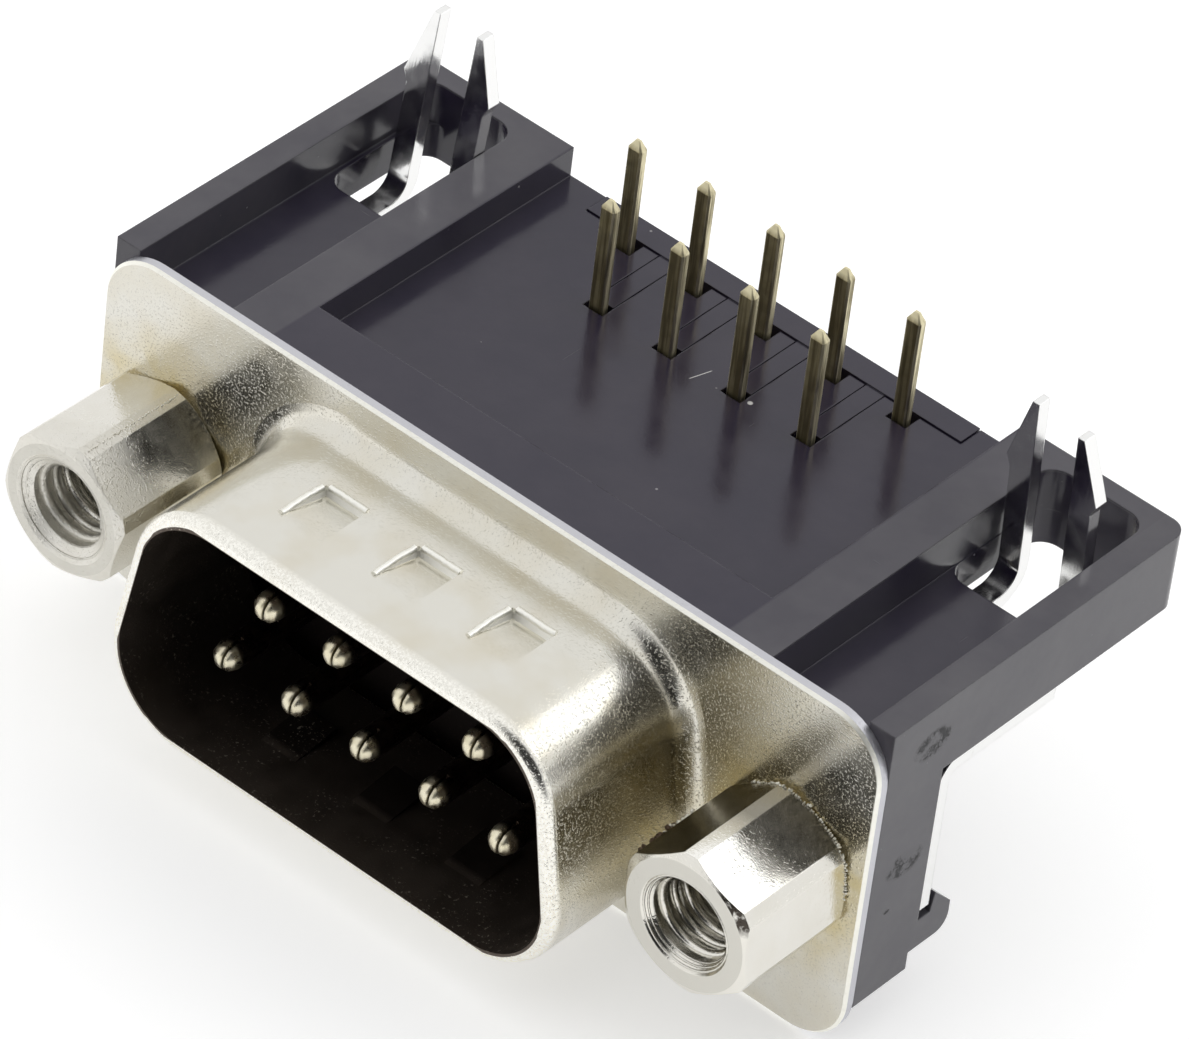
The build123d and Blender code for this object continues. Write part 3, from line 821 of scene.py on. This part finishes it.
# Painted dark reflection: the right screw's flats that face left are darkened where they mirror the
# flange.
flat_reflection_mask = overlap(tree, on_right, between(tree, facing["X"], -0.5, -0.45, 1.0, 0.0))
tone = tint(tree, flat_reflection_mask, tone, painted_flat_reflection)
gouge = overlap(
    tree,
    between(tree, facing["Y"], -0.93, -0.91),
    between(tree, facing["Y"], -0.78, -0.74, 1.0, 0.0),
    between(tree, place["X"], screw_x + 0.0007, screw_x + 0.0012),
    between(tree, place["Z"], 0.0009, 0.0012),
    between(tree, mottle(tree, where, 0.00025, 3.0), 0.38, 0.5),
)
tone = tint(tree, gouge, tone, gouged_rim)
tree.links.new(tone, shader.inputs["Base Color"])
gloss = between(tree, mottle(tree, where, 0.0007, 4.0), 0.3, 0.7, 0.1, 0.24)
worn = overlap(tree, between(tree, place["Y"], -0.0037, -0.0024, 1.0, 0.0), on_left)
dull = combine(tree, worn, 0.25, "MULTIPLY")
tree.links.new(combine(tree, gloss, dull, "ADD"), shader.inputs["Roughness"])
fine = mottle(tree, where, screw_grain_size, 2.0, 0.6)
raised = between(tree, mottle(tree, where, pebble_size, 1.0), 0.56, 0.7, 0.0, 0.8)
coarser = combine(tree, combine(tree, worn, 3.0, "MULTIPLY"), 1.0, "ADD")
pebbles = overlap(tree, combine(tree, fine, raised, "ADD"), coarser)
relief(tree, shader, pebbles, pebble_depth, screw_rounding)
wear("jackscrew_left", bright_nickel)
wear("jackscrew_right", bright_nickel)

# Threads: the ridges cut in the tapped mouth of each jackscrew, one right-hand helix that
# runs down the bore, with the tap's fine lead-in marks on the countersink in front of it.
screw_front = -0.0046
thread_pitch = 0.00052
thread_turns = 6
thread_start = 0.00042
thread_radius = 0.00142
ridge_half = 0.0002
lead_in_pitch = 0.00012
lead_in_turns = 3
lead_in_start = 0.00002
lead_in_half = 0.00005
left_mouth_radius = 0.00184
right_mouth_radius = 0.00164
points_per_turn = 48
ridge_sides = 4


def thread_maker():
    """Geometry Nodes tree of one threaded ridge round Y, with its sizes as inputs."""
    wanted = (
        ("Pitch", "NodeSocketFloat"),
        ("Turns", "NodeSocketFloat"),
        ("Mouth Radius", "NodeSocketFloat"),
        ("Radius", "NodeSocketFloat"),
        ("Ridge", "NodeSocketFloat"),
        ("Place", "NodeSocketVector"),
        ("Finish", "NodeSocketMaterial"),
    )
    group, sockets = new_group("thread_ridge", wanted, False)
    given = group.nodes.new("NodeGroupInput")
    made = group.nodes.new("NodeGroupOutput")
    helix = group.nodes.new("GeometryNodeCurveSpiral")
    helix.inputs["Resolution"].default_value = points_per_turn
    helix.inputs["Reverse"].default_value = False
    length = group.nodes.new("ShaderNodeMath")
    length.operation = "MULTIPLY"
    along = group.nodes.new("GeometryNodeSplineParameter")
    taper_in = group.nodes.new("ShaderNodeMapRange")
    taper_in.inputs["From Max"].default_value = 0.12
    taper_in.inputs["To Min"].default_value = 0.15
    section = group.nodes.new("GeometryNodeCurvePrimitiveCircle")
    section.inputs["Resolution"].default_value = ridge_sides
    tapered = group.nodes.new("GeometryNodeSetCurveRadius")
    swept = group.nodes.new("GeometryNodeCurveToMesh")
    swept.inputs["Fill Caps"].default_value = True
    placed = group.nodes.new("GeometryNodeTransform")
    placed.inputs["Rotation"].default_value = (math.radians(-90), 0.0, 0.0)
    realised = group.nodes.new("GeometryNodeRealizeInstances")
    finished = group.nodes.new("GeometryNodeSetMaterial")
    link = group.links.new
    link(given.outputs["Pitch"], length.inputs[0])
    link(given.outputs["Turns"], length.inputs[1])
    link(given.outputs["Turns"], helix.inputs["Rotations"])
    link(given.outputs["Mouth Radius"], helix.inputs["Start Radius"])
    link(given.outputs["Radius"], helix.inputs["End Radius"])
    link(length.outputs[0], helix.inputs["Height"])
    link(helix.outputs["Curve"], tapered.inputs["Curve"])
    link(along.outputs["Factor"], taper_in.inputs["Value"])
    link(taper_in.outputs["Result"], tapered.inputs["Radius"])
    link(given.outputs["Ridge"], section.inputs["Radius"])
    link(tapered.outputs["Curve"], swept.inputs["Curve"])
    link(section.outputs["Curve"], swept.inputs["Profile Curve"])
    link(swept.outputs["Mesh"], placed.inputs["Geometry"])
    link(given.outputs["Place"], placed.inputs["Translation"])
    link(placed.outputs["Geometry"], realised.inputs["Geometry"])
    link(realised.outputs["Geometry"], finished.inputs["Geometry"])
    link(given.outputs["Finish"], finished.inputs["Material"])
    link(finished.outputs["Geometry"], made.inputs[0])
    return group, sockets


ridge_tree, ridge_inputs = thread_maker()
for side, hand, mouth_radius in (("left", -1, left_mouth_radius), ("right", 1, right_mouth_radius)):
    for title, pitch, turns, start_radius, ridge_size, start in (
        ("thread_", thread_pitch, thread_turns, thread_radius, ridge_half, thread_start),
        ("lead_in_", lead_in_pitch, lead_in_turns, mouth_radius, lead_in_half, lead_in_start),
    ):
        ridge = run_maker(
            title + side,
            ridge_tree,
            ridge_inputs,
            {
                "Pitch": pitch,
                "Turns": float(turns),
                "Mouth Radius": start_radius,
                "Radius": thread_radius,
                "Ridge": ridge_size,
                "Place": (hand * screw_x, screw_front + start, 0.0),
                "Finish": bright_nickel,
            },
        )
        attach(ridge, "root")

# Burr crumbs: torn bits of plate and dirt, left along one arris of each jackscrew and
# round the right one's rear rim, where the bar's corners were turned down.
hex_flats = 0.0046
hex_bar = 0.00504
hex_face = 0.00445
hex_turned = math.radians(30)
left_turn = 17.0
right_turn = 35.0
crumb_rise = 0.00002
crumb_grit_size = 0.00003
crumb_grit_depth = 0.000006
full_turn = 6.28
crumb_metal, tree, shader = new_finish("torn_plate_crumbs", (0.90, 0.88, 0.80), 1.0, 0.35)
relief(tree, shader, mottle(tree, on_part(tree), crumb_grit_size), crumb_grit_depth)
dark_crumb, tree, shader = new_finish("dark_metal_crumbs", (0.10, 0.07, 0.05), 1.0, 0.5)
relief(tree, shader, mottle(tree, on_part(tree), crumb_grit_size), crumb_grit_depth)


def crumb_maker():
    """Geometry Nodes tree that strews uneven crumbs along the lines it is given."""
    wanted = (
        ("Spacing", "NodeSocketFloat"),
        ("Spread", "NodeSocketVector"),
        ("Least", "NodeSocketVector"),
        ("Most", "NodeSocketVector"),
        ("Seed", "NodeSocketInt"),
        ("Finish", "NodeSocketMaterial"),
    )
    group, sockets = new_group("strewn_crumbs", wanted, True)
    given = group.nodes.new("NodeGroupInput")
    made = group.nodes.new("NodeGroupOutput")
    lines = group.nodes.new("GeometryNodeMeshToCurve")
    dots = group.nodes.new("GeometryNodeCurveToPoints")
    dots.mode = "LENGTH"
    back = group.nodes.new("ShaderNodeVectorMath")
    back.operation = "SCALE"
    back.inputs["Scale"].default_value = -1.0
    aside = group.nodes.new("FunctionNodeRandomValue")
    turned = group.nodes.new("FunctionNodeRandomValue")
    sized = group.nodes.new("FunctionNodeRandomValue")
    for node in (aside, turned, sized):
        node.data_type = "FLOAT_VECTOR"
    turned.inputs["Max"].default_value = (full_turn, full_turn, full_turn)
    moved = group.nodes.new("GeometryNodeSetPosition")
    crumb = group.nodes.new("GeometryNodeMeshIcoSphere")
    crumb.inputs["Radius"].default_value = 1.0
    crumb.inputs["Subdivisions"].default_value = 2
    lump = group.nodes.new("ShaderNodeTexNoise")
    lump.inputs["Scale"].default_value = 1.3
    centred = group.nodes.new("ShaderNodeVectorMath")
    centred.operation = "SUBTRACT"
    centred.inputs[1].default_value = (0.5, 0.5, 0.5)
    bent = group.nodes.new("GeometryNodeSetPosition")
    strewn = group.nodes.new("GeometryNodeInstanceOnPoints")
    realised = group.nodes.new("GeometryNodeRealizeInstances")
    finished = group.nodes.new("GeometryNodeSetMaterial")
    link = group.links.new
    link(given.outputs["Geometry"], lines.inputs[0])
    link(lines.outputs[0], dots.inputs["Curve"])
    link(given.outputs["Spacing"], dots.inputs["Length"])
    link(given.outputs["Spread"], back.inputs[0])
    link(back.outputs["Vector"], aside.inputs["Min"])
    link(given.outputs["Spread"], aside.inputs["Max"])
    link(given.outputs["Seed"], aside.inputs["Seed"])
    link(dots.outputs["Points"], moved.inputs["Geometry"])
    link(aside.outputs["Value"], moved.inputs["Offset"])
    link(lump.outputs["Color"], centred.inputs[0])
    link(crumb.outputs["Mesh"], bent.inputs["Geometry"])
    link(centred.outputs["Vector"], bent.inputs["Offset"])
    link(given.outputs["Least"], sized.inputs["Min"])
    link(given.outputs["Most"], sized.inputs["Max"])
    link(given.outputs["Seed"], sized.inputs["Seed"])
    link(moved.outputs["Geometry"], strewn.inputs["Points"])
    link(bent.outputs["Geometry"], strewn.inputs["Instance"])
    link(turned.outputs["Value"], strewn.inputs["Rotation"])
    link(sized.outputs["Value"], strewn.inputs["Scale"])
    link(strewn.outputs["Instances"], realised.inputs["Geometry"])
    link(realised.outputs["Geometry"], finished.inputs["Geometry"])
    link(given.outputs["Finish"], finished.inputs["Material"])
    link(finished.outputs["Geometry"], made.inputs[0])
    return group, sockets


def on_hexagon(hand, angle, y=None):
    """A point on a screw's hexagon at an angle in degrees; without a Y, on its rear rim."""
    turn = left_turn if hand < 0 else right_turn
    off_flat = math.radians((angle - turn) % 60.0 - 30.0)
    reach = min(hex_flats / 2 / math.cos(off_flat), hex_bar / 2)
    if y is None:
        y = -(reach - hex_face / 2) * math.tan(hex_turned)
    reach += crumb_rise
    around = math.radians(angle)
    return hand * screw_x + reach * math.cos(around), y, reach * math.sin(around)


def on_arris(hand, angle, front, rear):
    """A line along one arris of a screw's hexagon."""
    return [on_hexagon(hand, angle, front), on_hexagon(hand, angle, rear)]


crumb_tree, crumb_inputs = crumb_maker()
rear_rim = [on_hexagon(1, angle) for angle in range(-5, 131, 5)]
crumb_sets = (
    (
        "rim_crumbs_right", rear_rim, 0.00010,
        (0.00003, 0.00003, 0.00003), 0.00002, 0.00006, 3, crumb_metal,
    ),
    (
        "corner_crumbs_right", on_arris(1, 155.0, -0.0029, -0.0017), 0.00012,
        (0.00007, 0.00003, 0.00007), 0.00004, 0.00009, 5, crumb_metal,
    ),
    (
        "dark_crumbs_right", on_arris(1, 155.0, -0.0040, -0.0025), 0.00014,
        (0.00009, 0.00003, 0.00009), 0.00006, 0.00013, 7, dark_crumb,
    ),
    (
        "corner_crumbs_left", on_arris(-1, 77.0, -0.0042, -0.0003), 0.00009,
        (0.00003, 0.00003, 0.00002), 0.00001, 0.00004, 11, crumb_metal,
    ),
)
for title, line, spacing, spread, least, most, seed, finish in crumb_sets:
    crumbs = run_maker(
        title,
        crumb_tree,
        crumb_inputs,
        {
            "Spacing": spacing,
            "Spread": spread,
            "Least": (least, least, least),
            "Most": (most, most, most),
            "Seed": seed,
            "Finish": finish,
        },
        polylines(title + "_line", [line]),
    )
    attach(crumbs, "root")
